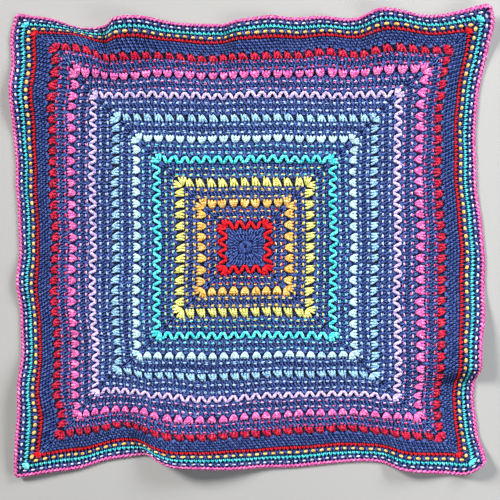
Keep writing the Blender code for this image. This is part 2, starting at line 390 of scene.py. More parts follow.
def worked(name, parts, material, low=LOW, high=HIGH):
    """Joins the parts, lays them out on the cloth and makes one smooth mesh object of them."""
    offsets = np.cumsum([0] + [len(part["points"]) for part in parts])
    quads = np.concatenate([part["quads"] + start for part, start in zip(parts, offsets)])
    tris = np.concatenate([part["tris"] + start for part, start in zip(parts, offsets)])
    columns = ("points", "tone", "quad_uv", "tri_uv")
    flat, tone, quad_uv, tri_uv = (np.concatenate([part[key] for part in parts]) for key in columns)
    mesh = bpy.data.meshes.new(name)
    mesh.vertices.add(len(flat))
    mesh.vertices.foreach_set("co", laid(flat).ravel())
    mesh.loops.add(quads.size + tris.size)
    mesh.loops.foreach_set("vertex_index", np.concatenate([quads.ravel(), tris.ravel()]).astype(np.int32))
    starts = np.concatenate([4 * np.arange(len(quads)), quads.size + 3 * np.arange(len(tris))])
    mesh.polygons.add(len(quads) + len(tris))
    mesh.polygons.foreach_set("loop_start", starts.astype(np.int32))
    mesh.update(calc_edges=True)
    uv = np.concatenate([quad_uv.reshape(-1, 2), tri_uv.reshape(-1, 2)])
    mesh.uv_layers.new(name="yarn").data.foreach_set("uv", uv.astype(np.float32).ravel())
    # depth sets the painted shade: at 0 a yarn takes its shade colour, at 1 its face colour
    depth = np.clip((flat[:, 2] - low) / (high - low), 0, 1)
    for label, values in (("tone", tone), ("depth", depth)):
        mesh.attributes.new(label, "FLOAT", "POINT").data.foreach_set("value", values.astype(np.float32))
    mesh.shade_smooth()
    mesh.materials.append(material)
    piece = bpy.data.objects.new(name, mesh)
    bpy.context.scene.collection.objects.link(piece)
    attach(piece, "root")
    triangles = 2 * len(quads) + len(tris)
    print(f"{name}: {triangles} triangles")
    return piece


# %% [markdown]
# ## Placing stitches
# A stitch is drawn once, in millimetres: along its side, outward from the centre, and up. It is then
# copied to every place in a round, each copy turned, sized and shifted a touch, because no two hand
# stitches are quite alike. The four sides are the same round turned by quarters.

# %% Helpers that place copies of a stitch on the flat cloth
rng = np.random.default_rng(SEED)
SIDES = np.arange(4) * pi / 2
LEAST_HEIGHT = 0.3 * MM

# How unlike two copies of a stitch are: the usual difference in heading, size, place, height, tone
HEADING_SPREAD = 0.10
SIZE_SPREAD = 0.05
SHIFT_SPREAD = 0.25 * MM
HEIGHT_SPREAD = 0.12 * MM
TONE_SPREAD = 0.2


def on_side(angle, path):
    """Turns points given as along, outward, up clockwise by the angle of their side."""
    along, outward, up = path[..., 0], path[..., 1], path[..., 2]
    angle = angle[:, None]
    x = along * np.cos(angle) + outward * np.sin(angle)
    y = outward * np.cos(angle) - along * np.sin(angle)
    return np.stack([x, y, up], axis=-1)


def settle(points):
    """The slow wander of hand-made rounds: a few sine waves, a millimetre or so high."""
    x, y = points[..., 0].copy(), points[..., 1].copy()
    points[..., 0] = x + 0.0009 * np.sin(31 * y + 1.3) + 0.0006 * np.sin(73 * y + 40 * x)
    points[..., 1] = y + 0.0009 * np.sin(27 * x + 0.4) + 0.0006 * np.sin(67 * x - 45 * y)
    return points


def copies(stitch, angle, along, outward, sides=5, turn=0.0, wobble=1.0, squash=0.85, lift=0.0):
    """The strands of a stitch at every place, with sides faces round each strand.

    Every copy is turned by turn and by a random heading, and gets a random size, shift, height and
    tone. wobble scales how unlike the copies are, lift raises them all, and squash flattens them.
    """
    count = len(along)
    heading = turn + wobble * rng.normal(0, HEADING_SPREAD, count)
    size = 1 + wobble * rng.normal(0, SIZE_SPREAD, count)
    shift = wobble * rng.normal(0, SHIFT_SPREAD, (count, 2))
    height = wobble * rng.normal(0, HEIGHT_SPREAD, count)
    tone = np.clip(rng.normal(0.5, TONE_SPREAD, count), 0, 1)
    made = []
    for path, radii in stitch:
        path = np.array(path) * MM
        x = path[:, 0] * np.cos(heading)[:, None] + path[:, 1] * np.sin(heading)[:, None]
        y = path[:, 1] * np.cos(heading)[:, None] - path[:, 0] * np.sin(heading)[:, None]
        x = x * size[:, None] + (along + shift[:, 0])[:, None]
        y = y * size[:, None] + (outward + shift[:, 1])[:, None]
        up = np.clip(path[:, 2] + lift + height[:, None], LEAST_HEIGHT, None)
        where = settle(on_side(angle, np.stack([x, y, up], axis=-1)))
        thick = np.array(radii) * MM * size[:, None]
        made.append(strands(where, thick, sides, tone, squash))
    return made


def in_round(distance, pitch, between=False, margin=0.0):
    """Angle of the side, place along it and distance, for each stitch of a round.

    An even number of stitches fills each side but for the margins at its corners. between gives
    the places halfway instead.
    """
    span = distance - margin
    count = 2 * max(1, round(span / pitch))
    steps = np.arange(1, count) if between else np.arange(count) + 0.5
    along = (2 * steps / count - 1) * span
    return np.repeat(SIDES, len(along)), np.tile(along, 4), np.full(4 * len(along), distance)


def a_pitch_apart(inner, outer, count, extra=0):
    """Angle of the side and place along it of each cluster of a round, or with extra=1 of each gap.

    The pitch is (inner + outer) / (count + 1), and the places lie evenly about the side's middle.
    """
    stitches = count + extra
    pitch = (inner + outer) / (count + 1)
    along = (np.arange(stitches) - (stitches - 1) / 2) * pitch
    return np.repeat(SIDES, stitches), np.tile(along, 4)


# %% [markdown]
# ## Yarn materials
# Acrylic double-knitting yarn is matte, with a soft sheen of loose fibres and a visible ply twist.
# The colour darkens low between strands, which is painted shade, and varies a little from stitch to
# stitch and across the cloth. A fine noise adds small random dark spots of painted shade and, on top of
# the strands, small pale flecks of painted highlight. The twist is a sine wave along and round the
# strand, from its own uv map, and drives the bump together with the finest noise.

# %% A helper for shader nodes
def node_tools(tree):
    """Two ways to add nodes to the tree. node sets its sockets, and maths also wires them."""

    def node(kind, **inputs):
        made = tree.nodes.new(kind)
        for key, value in inputs.items():
            made.inputs[key.replace("_", " ")].default_value = value
        return made

    def maths(operation, first, second=0.0, third=0.0, clamp=False):
        made = tree.nodes.new("ShaderNodeMath")
        made.operation = operation
        made.use_clamp = clamp
        for socket, value in zip(made.inputs, (first, second, third)):
            if isinstance(value, (int, float)):
                socket.default_value = value
            else:
                tree.links.new(value, socket)
        return made.outputs["Value"]

    return node, maths


# %% Yarn material
YARN_FINISH = {
    "Roughness": 0.85,
    "Specular IOR Level": 0.12,
    "Sheen Weight": 0.05,
    "Sheen Roughness": 0.5,
}
CLOUD_SCALE = 22.0
# The spot noise's size, thresholds and contrast set the painted shade spots and painted highlight flecks
SPOT_SCALE = 290.0
FIBRE_SCALE = 1400.0
SPOTS_ABOVE = 0.52
HIGHLIGHTS_BELOW = 0.48
SPOT_CONTRAST = 7.0
CLOUD_SHARE = 0.35
FIBRE_SHARE = 0.35
PLY_SHARE = 0.05
PLY_BUMP = 0.3


def yarn(name, face, shade, pale=0.34, twist=0.0036, tones=0.22, spots=0.80):
    """Yarn whose colour goes from shade, low between strands, to face on top of them, as painted shade.

    pale is how far the painted highlight flecks go from face to white, twist the length of one turn of
    the plies in metres, tones how much the stitches differ, and spots how dark the painted shade spots
    are.
    """
    material = bpy.data.materials.new(name)
    material.use_nodes = True
    nodes = material.node_tree.nodes
    link = material.node_tree.links.new
    shader = nodes["Principled BSDF"]
    for socket, value in YARN_FINISH.items():
        shader.inputs[socket].default_value = value
    node, maths = node_tools(material.node_tree)

    tone = nodes.new("ShaderNodeAttribute")
    tone.attribute_name = "tone"
    depth = nodes.new("ShaderNodeAttribute")
    depth.attribute_name = "depth"
    place = nodes.new("ShaderNodeTexCoord")
    cloud = node("ShaderNodeTexNoise", Scale=CLOUD_SCALE, Detail=2.0)
    shade_and_highlight_noise = node("ShaderNodeTexNoise", Scale=SPOT_SCALE, Detail=1.0)
    fluff = node("ShaderNodeTexNoise", Scale=FIBRE_SCALE, Detail=3.0, Roughness=0.65)
    for noise in (cloud, shade_and_highlight_noise, fluff):
        link(place.outputs["Object"], noise.inputs["Vector"])

    uv = nodes.new("ShaderNodeUVMap")
    uv.uv_map = "yarn"
    split = nodes.new("ShaderNodeSeparateXYZ")
    link(uv.outputs["UV"], split.inputs["Vector"])
    along = maths("MULTIPLY", split.outputs["X"], 2 * pi / twist)
    ply = maths("SINE", maths("MULTIPLY_ADD", split.outputs["Y"], 4 * pi, along))

    # Painted shade: the colour falls from face to shade low between strands and at the dark spots
    mix = nodes.new("ShaderNodeMix")
    mix.data_type = "RGBA"
    mix.inputs["A"].default_value = (*shade, 1.0)
    mix.inputs["B"].default_value = (*face, 1.0)
    dark = maths("SUBTRACT", shade_and_highlight_noise.outputs["Fac"], SPOTS_ABOVE)
    dark = maths("MULTIPLY", dark, SPOT_CONTRAST, clamp=True)
    lit = maths("MULTIPLY_ADD", dark, -spots, 1.0)
    link(maths("MULTIPLY", depth.outputs["Fac"], lit), mix.inputs["Factor"])
    # Painted highlight: pale flecks towards white on top of the strands
    highlight_mix = nodes.new("ShaderNodeMix")
    highlight_mix.data_type = "RGBA"
    highlight_mix.inputs["B"].default_value = (*(part + pale * (1 - part) for part in face), 1.0)
    link(mix.outputs["Result"], highlight_mix.inputs["A"])
    highlight_share = maths("SUBTRACT", HIGHLIGHTS_BELOW, shade_and_highlight_noise.outputs["Fac"])
    highlight_share = maths("MULTIPLY", highlight_share, SPOT_CONTRAST, clamp=True)
    link(maths("MULTIPLY", depth.outputs["Fac"], highlight_share), highlight_mix.inputs["Factor"])
    vary = maths("MULTIPLY_ADD", tone.outputs["Fac"], tones, 1 - tones / 2)
    for noise, share in ((cloud, CLOUD_SHARE), (fluff, FIBRE_SHARE)):
        vary = maths("MULTIPLY_ADD", maths("SUBTRACT", noise.outputs["Fac"], 0.5), share, vary)
    vary = maths("MULTIPLY_ADD", ply, PLY_SHARE, vary)
    scale = nodes.new("ShaderNodeVectorMath")
    scale.operation = "SCALE"
    link(highlight_mix.outputs["Result"], scale.inputs[0])
    link(vary, scale.inputs["Scale"])
    link(scale.outputs["Vector"], shader.inputs["Base Color"])

    bump = node("ShaderNodeBump", Strength=0.5, Distance=0.0006)
    link(maths("MULTIPLY_ADD", ply, PLY_BUMP, fluff.outputs["Fac"]), bump.inputs["Height"])
    link(bump.outputs["Normal"], shader.inputs["Normal"])
    return material


# %% [markdown]
# ## The yarns
# Each yarn is one colour on top of its strands and a deeper one low between them, which is painted
# shade. The dark yarns have fainter painted highlight flecks. The backing's yarn is the other way round:
# nearly black on top, as painted shadow, and navy underneath.

# %% The yarns' colours
# colour on top of the strands, painted shade colour low between them, and how pale the painted highlight
# flecks are
YARNS = {
    "navy": ((0.090, 0.168, 0.530), (0.003, 0.008, 0.105), 0.10),
    "red": ((0.920, 0.008, 0.020), (0.300, 0.003, 0.010), 0.04),
    "orange": ((0.900, 0.620, 0.125), (0.620, 0.140, 0.025)),
    "yellow": ((0.920, 0.920, 0.300), (0.560, 0.470, 0.050)),
    # Amber's deeper colour is partly the orange rim of its dashes and partly painted shade
    "amber": ((0.950, 0.690, 0.160), (0.720, 0.190, 0.030), 0.25),
    "turquoise": ((0.092, 0.940, 0.950), (0.010, 0.300, 0.420)),
    "pale_blue": ((0.640, 0.910, 0.940), (0.170, 0.390, 0.620)),
    "blue": ((0.430, 0.780, 0.970), (0.070, 0.190, 0.500)),
    "lilac": ((0.760, 0.600, 0.930), (0.330, 0.230, 0.580)),
    "white": ((0.780, 0.790, 0.940), (0.300, 0.280, 0.500)),
    "pink": ((0.960, 0.176, 0.550), (0.430, 0.035, 0.180)),
    "crimson": ((0.750, 0.009, 0.064), (0.150, 0.002, 0.016), 0.08),
    # Painted shadow for the backing: nearly black on top, navy beneath
    "shaded": ((0.004, 0.007, 0.035), (0.050, 0.085, 0.260), 0.0),
}
materials = {name: yarn(name + "_yarn", *colours) for name, colours in YARNS.items()}
print(len(materials), "yarns")

# %% [markdown]
# ## The backing
# Behind the stitches lies the rest of their loops, a thin dense cloth. It is made of closed bands, each
# a flat section carried round the square. The bands run on under the shells and the zigzags and stop
# at the gathered rounds, whose gaps are open. Its top is painted nearly black, as painted shadow: it
# stands for the deep shade between the stitches, in the gaps of the shells and zigzags and in the ring.

# %% Square bands
# Points stand about this far apart along a band and across it
BAND_STEP = 0.0080


def all_quads(points, quads, uv):
    """A part made of quads alone, in the form that strands gives."""
    return {
        "points": points,
        "tone": np.full(len(points), 0.5),
        "quads": quads,
        "tris": np.zeros((0, 3), int),
        "quad_uv": uv,
        "tri_uv": np.zeros((0, 3, 2)),
    }


def square_band(section):
    """A closed section of distance and height, carried round the four sides of a square.

    A point is (share * distance, distance) on its side, with share running from -1 to 1, so that
    the sides meet in a mitre on the diagonals.
    """
    section = np.array(section)
    count = max(4, round(2 * section[:, 0].mean() / BAND_STEP))
    share = np.linspace(-1, 1, count, endpoint=False)
    along = share[:, None] * section[:, 0]
    outward = np.broadcast_to(section[:, 0], along.shape)
    up = np.broadcast_to(section[:, 1], along.shape)
    path = np.stack([along, outward, up], axis=-1)
    points = np.concatenate([on_side(np.full(count, angle), path) for angle in SIDES])
    loops, around = len(points), len(section)
    i = np.arange(loops)[:, None]
    j = np.arange(around)
    next_i, next_j = (i + 1) % loops, (j + 1) % around
    corners = (i * around + j, next_i * around + j, next_i * around + next_j, i * around + next_j)
    quads = np.stack(corners, axis=-1)
    step = 8 * section[:, 0].mean() / loops
    u = (i[..., None] + np.array([0, 1, 1, 0])) * step
    v = (j[:, None] + np.array([0, 0, 1, 1])) / around
    uv = np.stack(np.broadcast_arrays(u, v[None]), axis=-1)
    return all_quads(settle(points.reshape(-1, 3)), quads.reshape(-1, 4), uv.reshape(-1, 4, 2))


# %% [markdown]
# ## Round the open gaps
# In a gathered round the cloth behind is nothing but the loops that the clusters stand on. So each
# gap has three low strands round it, and each corner, where the crochet is dense, a thin plate. Both are
# in the backing's yarn, painted nearly black on top as painted shadow: the strands darken the rim of each
# gap, and the plate fills the corner's diagonal slit with painted shadow.

# %% The backing
# The backing's bottom and top: its depth runs from navy at the bottom to painted shadow on top
BACKING_LOW = 0.6 * MM
BACKING_HIGH = 1.2 * MM
PLATE_FROM = 4.5 * MM
PLATE_PAST = 1.0 * MM
RIM_LIFT = 0.4 * MM

# The six sides of a box whose lower four points come first, wound to face outwards
BOX_FACES = np.array([(0, 1, 2, 3), (7, 6, 5, 4), (4, 5, 1, 0), (5, 6, 2, 1), (6, 7, 3, 2), (7, 4, 0, 3)])


def backing_section(inner, outer):
    """A flat rectangle with points every few millimetres across, wound from its top inner corner."""
    across = np.linspace(inner, outer, max(2, round((outer - inner) / BAND_STEP) + 1))
    top = [(distance, BACKING_HIGH) for distance in across]
    return top + [(distance, BACKING_LOW) for distance in across[::-1]]


def patch(near, far):
    """A thin square plate at each corner of a round, from the distance near to the distance far."""
    corner = np.array([(near, near), (near, far), (far, far), (far, near)])
    plate = [np.column_stack([corner, np.full(4, up)]) for up in (BACKING_LOW, BACKING_HIGH)]
    path = np.concatenate(plate)[None].repeat(4, axis=0)
    points = settle(on_side(SIDES, path).reshape(-1, 3))
    quads = (8 * np.arange(4)[:, None, None] + BOX_FACES).reshape(-1, 4)
    return all_quads(points, quads, points[quads][..., :2])


# Strands in millimetres from a gap's middle along the round, and outward from the round's outer edge
GAP_RIM = (
    (((-6.4, 1.6, 0.8), (-5.6, 0.4, 1.3), (-3.8, -4.2, 1.3), (-1.0, -9.0, 1.2), (-0.6, -11.0, 0.8)),
     (1.4, 1.7, 1.7)),
    (((2.9, 1.6, 0.8), (2.9, 0.4, 1.3), (2.7, -4.2, 1.3), (1.8, -9.0, 1.2), (1.6, -11.0, 0.8)),
     (1.2, 1.4, 1.5)),
    (((-7.0, 0.4, 0.8), (-5.2, -1.4, 1.4), (-1.4, -2.4, 1.4), (2.4, -1.4, 1.4), (4.2, 0.4, 0.8)),
     (1.2, 1.2, 1.2)),
)


def gap_rims(inner, outer, count):
    """The low back loops round each open gap of a gathered round."""
    angle, along = a_pitch_apart(inner, outer, count, extra=1)
    return copies(GAP_RIM, angle, along, outer, sides=4, wobble=0.3, lift=RIM_LIFT)


behind = [square_band(backing_section(*edges)) for edges in BACKED]
open_rounds = [(inner, outer, count) for _, kind, inner, outer, count in ROUNDS if kind == "gathered"]
for inner, outer, _ in open_rounds:
    behind.append(patch(inner + PLATE_FROM, outer + PLATE_PAST))
for inner, outer, count in open_rounds:
    behind += gap_rims(inner, outer, count)
# Bands, plates and rims all take the backing's yarn: painted shadow on top, navy beneath
backing = worked("backing", behind, materials["shaded"], BACKING_LOW, BACKING_HIGH)

# %% [markdown]
# ## Plain navy rounds
# What shows of each navy stitch is a long strand that leans back and a shorter one that leans the
# other way, with a small dark hole beside them, where the backing shows with its painted shadow. The rows
# are offset by half a stitch, as in moss stitch, so that the holes make the even grid of dots that gives
# these rounds their grain.

# %% The navy stitches
# A strand: its path from tip to tip in millimetres (along, outward, up), and its radii
MOSS_STITCH = (
    (((-2.2, 3.1, 1.2), (-1.6, 1.9, 2.8), (-0.3, -1.1, 2.4), (0.4, -2.8, 0.7)), (1.10, 1.00)),
    (((1.6, 2.4, 0.9), (1.6, 1.5, 1.9), (1.3, -0.7, 1.5), (0.8, -2.3, 0.6)), (0.80, 0.75)),
)
SLIPPED_STITCH = (
    (((-2.2, 4.0, 1.2), (-1.6, 2.5, 2.9), (-0.2, -1.6, 2.8), (0.4, -3.8, 1.1)), (1.15, 1.15)),
    (((0.2, 3.6, 1.0), (0.8, 2.3, 2.2), (1.7, -1.3, 2.1), (2.2, -3.2, 1.0)), (0.85, 0.85)),
)
CORNER_STITCH = (
    (((-2.5, -3.4, 0.9), (-2.2, -1.8, 2.4), (-2.0, 1.6, 2.7), (-2.5, 3.2, 1.0)), (1.10, 1.10)),
    (((2.5, -3.4, 0.9), (2.2, -1.8, 2.4), (2.0, 1.6, 2.7), (2.5, 3.2, 1.0)), (1.10, 1.10)),
)


def at_corners(stitch, distance, **options):
    """A copy of the stitch on each of the four diagonals, pointing away from the centre."""
    corner = np.full(4, distance)
    return copies(stitch, SIDES, corner, corner, turn=pi / 4, **options)


# %% Navy rows between the openwork rounds
FIRST_ROW = 1.6 * MM
MIDDLE_ROWS = (0.34, 0.67)


def moss_band(index):
    """The plain rows and the slipped stitches between two openwork rounds."""
    start = ROUNDS[index][3]
    end = ROUNDS[index + 1][2]
    first, second = DASH_ROWS[2 * index][0], DASH_ROWS[2 * index + 1][0]
    rows = [start + FIRST_ROW]
    rows += [first + share * (second - first) for share in MIDDLE_ROWS]
    rows.append((second + end) / 2)
    made = []
    for number, distance in enumerate(rows):
        made += copies(MOSS_STITCH, *in_round(distance, MOSS_PITCH, between=number % 2 == 1), sides=4)
        made += at_corners(CORNER_STITCH, distance)
    for distance in (first, second):
        made += copies(SLIPPED_STITCH, *in_round(distance, DASH_PITCH, between=True, margin=DASH_MARGIN))
    return made


plain_rounds = [moss_band(index) for index in range(len(ROUNDS) - 1)]
worked("navy_inner_rounds", sum(plain_rounds[:5], []), materials["navy"])
worked("navy_middle_rounds", sum(plain_rounds[5:7], []), materials["navy"])
worked("navy_outer_rounds", sum(plain_rounds[7:], []), materials["navy"])

# %% [markdown]
# ## The middle square
# The blanket starts with stitches worked into a ring, so the first round fans out like spokes. Two
# square rounds of tall stitches follow. Each tall stitch wavers, because the yarn is wrapped round it.

# %% Spokes and tall stitches of the middle square
SPOKES = 30
RING_LOOPS = 12
TALL_ROUNDS = ((0.0122, 0.0212, 12), (0.0216, 0.0308, 20))
SIDE_FILLED = 0.96
FOOT_SPREAD = 0.3 * MM
LOOP_PAST = 0.3 * MM
# Heights where the painted shade between strands is full and where it ends
MIDDLE_LOW = 1.6 * MM
MIDDLE_HIGH = 3.9 * MM

# How much lower and thinner every other tall stitch is, in millimetres
STRAND_DROP = 0.9
STRAND_THINNER = 0.25


def tall_round(inner, outer, per_side, waver=0.8):
    """Tall stitches between two distances, by turns a high strand and a low one beside it.

    A point is (share * distance + sway, distance), with share the place between the corners, and
    sway = waver * sin(2.6 * pi * rise), where rise goes from 0 at the foot to 1 at the top. The
    stitches take up the share SIDE_FILLED of each side.
    """
    rise = np.array([-0.12, 0.00, 0.20, 0.40, 0.60, 0.80, 1.00, 1.12])
    share = np.tile((2 * np.arange(per_side) + 1) / per_side - 1, 4) * SIDE_FILLED
    count = len(share)
    low_strand = np.arange(count)[:, None] % 2
    height = (np.array([0.7, 2.1, 2.7, 2.8, 2.7, 2.8, 2.4, 0.8]) - STRAND_DROP * low_strand) * MM
    height = np.maximum(height, LEAST_HEIGHT)
    outward = inner + rise * (outer - inner) + rng.normal(0, FOOT_SPREAD, (count, 1))
    along = share[:, None] * outward + waver * MM * np.sin(rise * 2.6 * pi)
    path = np.stack(np.broadcast_arrays(along, outward, height), axis=-1)
    where = settle(on_side(np.repeat(SIDES, per_side), path))
    thick = (1.1 - STRAND_THINNER * low_strand) * MM * np.array([0.8, 1.0, 1.0, 1.0, 1.0, 0.9])
    return [strands(where, thick, 5, np.clip(rng.normal(0.5, TONE_SPREAD, count), 0, 1))]


def spokes():
    """Stitches from the ring outwards, on rays from the centre."""
    angle = 2 * pi * (np.arange(SPOKES) + 0.5) / SPOKES
    path = ((0.0, -0.6, 1.2), (0.0, 0.4, 2.4), (0.3, 4.0, 2.6), (-0.2, 8.2, 2.3), (0.0, 9.6, 0.8))
    return copies(((path, (0.4, 0.7, 1.0)),), angle, np.zeros(SPOKES), RING_HOLE, wobble=0.5)


def ring_loops():
    """Short strands lying round the hole, which the first stitches are worked over."""
    angle = 2 * pi * np.arange(RING_LOOPS) / RING_LOOPS
    loop = ((((-1.6, 0.0, 1.2), (-0.8, 0.2, 2.0), (0.8, 0.2, 2.0), (1.6, 0.0, 1.2)), (0.9, 0.9)),)
    return copies(loop, angle, np.zeros(RING_LOOPS), RING_HOLE + LOOP_PAST, wobble=0.4)


middle = spokes() + ring_loops()
for inner, outer, per_side in TALL_ROUNDS:
    middle += tall_round(inner, outer, per_side)
worked("middle_square", middle, materials["navy"], low=MIDDLE_LOW, high=MIDDLE_HIGH)

# %% [markdown]
# ## Openwork rounds
# Three kinds of cluster take turns. A shell is three stitches worked into one hole, so it fans out.
# A gathered cluster is three stitches closed together, wide at the feet and narrow at the top, with
# the chain that follows it standing up beside. A zigzag is a round of two-stitch V shapes.

# %% A post with turns of yarn over it
# A turn of yarn: share of the post's radius across it, and share of it above the post's middle line
TURN = ((-1.15, -0.20), (-0.50, 0.62), (0.50, 0.62), (1.15, -0.20))
TURN_RADIUS = 0.56
TURN_SLANT = 0.7


def wrapped(path, radii, places):
    """A post with a turn of yarn over it at each place, a share of its length.

    A turn is a short strand: post + t * (sideways + TURN_SLANT * ahead), with t from -1.15 to 1.15
    times the post's radius, and highest in the middle.
    """
    path = np.array(path)
    made = [(path, radii)]
    for place in places:
        at = place * (len(path) - 1)
        low = int(at)
        ahead = path[low + 1] - path[low]
        here = path[low] + (at - low) * ahead
        thick = np.interp(at, np.arange(len(radii)) + 1, radii)
        ahead = ahead[:2] / np.linalg.norm(ahead[:2])
        reach = thick * (np.array([ahead[1], -ahead[0]]) + TURN_SLANT * ahead)
        turn = [(*(here[:2] + t * reach), here[2] + up * thick) for t, up in TURN]
        made.append((turn, (TURN_RADIUS * thick, TURN_RADIUS * thick)))
    return made


# %% The three clusters
def shell(reach):
    """Three posts from one foot, fanning out into a cup with three tips."""
    posts = []
    for lean in (-1, 0, 1):
        path = (
            (1.0 * lean, -1.2, 0.9),
            (1.2 * lean, 1.0, 2.2),
            (3.2 * lean, 0.32 * reach, 2.5),
            (4.7 * lean, 0.60 * reach, 2.5),
            (5.4 * lean, reach - 2.4, 2.5),
            (5.9 * lean, reach + 0.6, 1.2),
        )
        posts += wrapped(path, (1.8, 2.6, 2.9, 2.1), (0.32, 0.46, 0.60))
    return posts


# Across and outward share of each post's path from its foot to the shared top, and its radii
GATHERED_POSTS = (
    (((-4.6, -0.08), (-4.4, 0.08), (-3.9, 0.36), (-3.1, 0.60), (-1.4, 0.82), (-0.6, 0.98)),
     (2.1, 2.2, 1.9, 1.4)),
    (((0.9, -0.08), (0.8, 0.08), (0.4, 0.36), (0.0, 0.62), (-0.3, 0.86), (-0.3, 1.08)),
     (2.2, 2.4, 2.1, 1.6)),
    (((7.0, -0.08), (6.6, 0.08), (5.0, 0.32), (3.0, 0.56), (1.1, 0.80), (0.0, 1.00)),
     (2.0, 2.0, 1.8, 1.5)),
)
POST_HEIGHTS = (1.0, 2.3, 2.6, 2.7, 2.6, 1.2)


def gathered(reach):
    """Three posts from wide feet to one top, and the chain that stands up at their left."""
    posts = []
    for path, radii in GATHERED_POSTS:
        path = [(across, share * reach, up) for (across, share), up in zip(path, POST_HEIGHTS)]
        posts += wrapped(path, radii, (0.27, 0.42, 0.58))
    chain = (
        (-5.0, 0.06 * reach, 1.2),
        (-5.3, 0.30 * reach, 2.2),
        (-5.6, 0.60 * reach, 2.7),
        (-6.0, 0.92 * reach, 3.0),
        (-6.3, 1.10 * reach, 1.8),
    )
    posts.append((chain, (1.6, 1.4, 1.1)))
    return posts


def vee(reach, pitch):
    """Two posts from one foot, each leaning out and bending over to meet its neighbour."""
    posts = []
    for lean in (-1, 1):
        path = (
            (-2.2 * lean, 1.4, 1.2),
            (1.4 * lean, 1.9, 2.4),
            (0.20 * pitch * lean, 0.34 * reach, 2.7),
            (0.29 * pitch * lean, 0.62 * reach, 2.7),
            (0.42 * pitch * lean, reach - 2.6, 2.6),
            ((0.5 * pitch + 4.2) * lean, reach - 2.0, 1.6),
        )
        posts += wrapped(path, (2.7, 2.9, 3.0, 3.0), (0.32, 0.50, 0.66))
    return posts


# %% [markdown]
# ## Working the openwork rounds
# Each round has a fixed number of clusters between its corners, so they stand a pitch apart. A fan of
# posts from one foot fills each corner, which is how a square of crochet turns.

# %% Corner fans and whole rounds
CORNER_FOOT = 1.8 * MM
# Heights where the painted shade between strands is full and where it ends
CLUSTER_LOW = 1.6 * MM
CLUSTER_HIGH = 4.4 * MM

# Kind of round: angles of the corner's posts from the diagonal in degrees, and their radius
CORNER_POSTS = {
    "zigzag": ((-42, -18, 18, 42), 2.5),
    "shell": ((-54, -35, -16, 16, 35, 54), 2.0),
    "gathered": ((-58, -37, -17, 17, 37, 58), 1.9),
}


def corner_fan(reach, angles, radius):
    """Posts from one foot on a diagonal, at the angles from it."""
    fan = []
    for angle in angles:
        ray = np.array([sin(radians(angle)), cos(radians(angle))])
        reaches = np.array([0.00, 0.15, 0.46, 0.76, 0.98, 1.16]) * reach
        height = np.array([0.9, 2.2, 2.6, 2.7, 2.5, 1.2])
        thick = radius * np.array([1.0, 1.15, 1.15, 0.95])
        fan += wrapped(np.column_stack([reaches[:, None] * ray, height]), thick, (0.45, 0.65))
    return fan


def openwork_round(kind, inner, outer, count):
    """Clusters on the four sides, a pitch apart, and a fan at each corner."""
    pitch = (inner + outer) / (count + 1)
    reach = (outer - inner) / MM
    if kind == "zigzag":
        stitch = vee(reach, pitch / MM)
    elif kind == "shell":
        stitch = shell(reach)
    else:
        stitch = gathered(reach)
    made = copies(stitch, *a_pitch_apart(inner, outer, count), inner, wobble=0.6, squash=0.8)
    made += at_corners(corner_fan(reach, *CORNER_POSTS[kind]), inner + CORNER_FOOT, wobble=0.5)
    return made


for colour, kind, inner, outer, count in ROUNDS:
    clusters = openwork_round(kind, inner, outer, count)
    worked(f"{colour}_{kind}_round", clusters, materials[colour], CLUSTER_LOW, CLUSTER_HIGH)

# %% [markdown]
# ## Navy feet in the openwork
# The navy round that follows an openwork round is worked into its gaps, so its first stitches reach
# down between the clusters as small wedges, or lie across a gap as a loop. What is left open of each
# gap is a small triangle. Under the shells and the zigzags it shows the backing, painted nearly black as
# painted shadow; under the gathered rounds it is open to the floor.

# %% Wedges, strips, loops and bumps
CORNER_PAST = 2.0 * MM

# Strands in millimetres from the middle of a cluster or a gap, and outward from the round's edge
WEDGE = (
    (((-3.6, 2.8, 1.2), (-2.6, 0.9, 2.6), (-1.0, -2.6, 2.3), (-0.2, -5.4, 0.9)), (1.30, 1.15)),
    (((3.6, 2.8, 1.2), (2.6, 0.9, 2.5), (1.0, -2.4, 2.2), (0.2, -5.2, 0.9)), (1.20, 1.05)),
    (((-0.3, 2.8, 1.2), (-0.2, 0.9, 2.1), (0.1, -1.8, 2.0), (0.2, -3.6, 0.9)), (1.20, 1.05)),
)
STRIP = (
    (((-1.6, 3.0, 1.2), (-1.3, 0.6, 2.5), (-0.6, -4.2, 2.1), (-0.2, -7.0, 0.9)), (1.20, 1.00)),
    (((1.5, 2.6, 1.2), (1.3, 0.2, 2.3), (0.6, -4.0, 1.9), (0.2, -6.6, 0.9)), (1.10, 0.90)),
)
LOOP = (
    (((-6.6, 2.0, 1.2), (-5.0, -0.1, 2.2), (-1.4, -1.7, 2.4), (2.2, -0.1, 2.2), (3.8, 2.0, 1.2)),
     (1.1, 1.3, 1.1)),
    (((-5.0, 2.8, 1.2), (-3.6, 1.4, 2.1), (-1.4, 0.8, 2.3), (0.8, 1.4, 2.1), (2.4, 2.8, 1.2)),
     (1.1, 1.2, 1.1)),
)
BUMP = (
    (((-4.8, -2.0, 1.0), (-3.3, 0.8, 2.1), (0.0, 2.3, 2.4), (3.3, 0.8, 2.1), (4.8, -2.0, 1.0)),
     (1.2, 1.4, 1.2)),
    (((-1.9, -3.0, 1.0), (-1.5, -1.4, 2.4), (-0.5, 0.4, 2.0), (-0.2, 1.2, 1.0)), (1.15, 1.0)),
    (((1.9, -3.0, 1.0), (1.5, -1.4, 2.3), (0.8, 0.2, 1.9), (0.4, 1.0, 1.0)), (1.05, 0.9)),
)


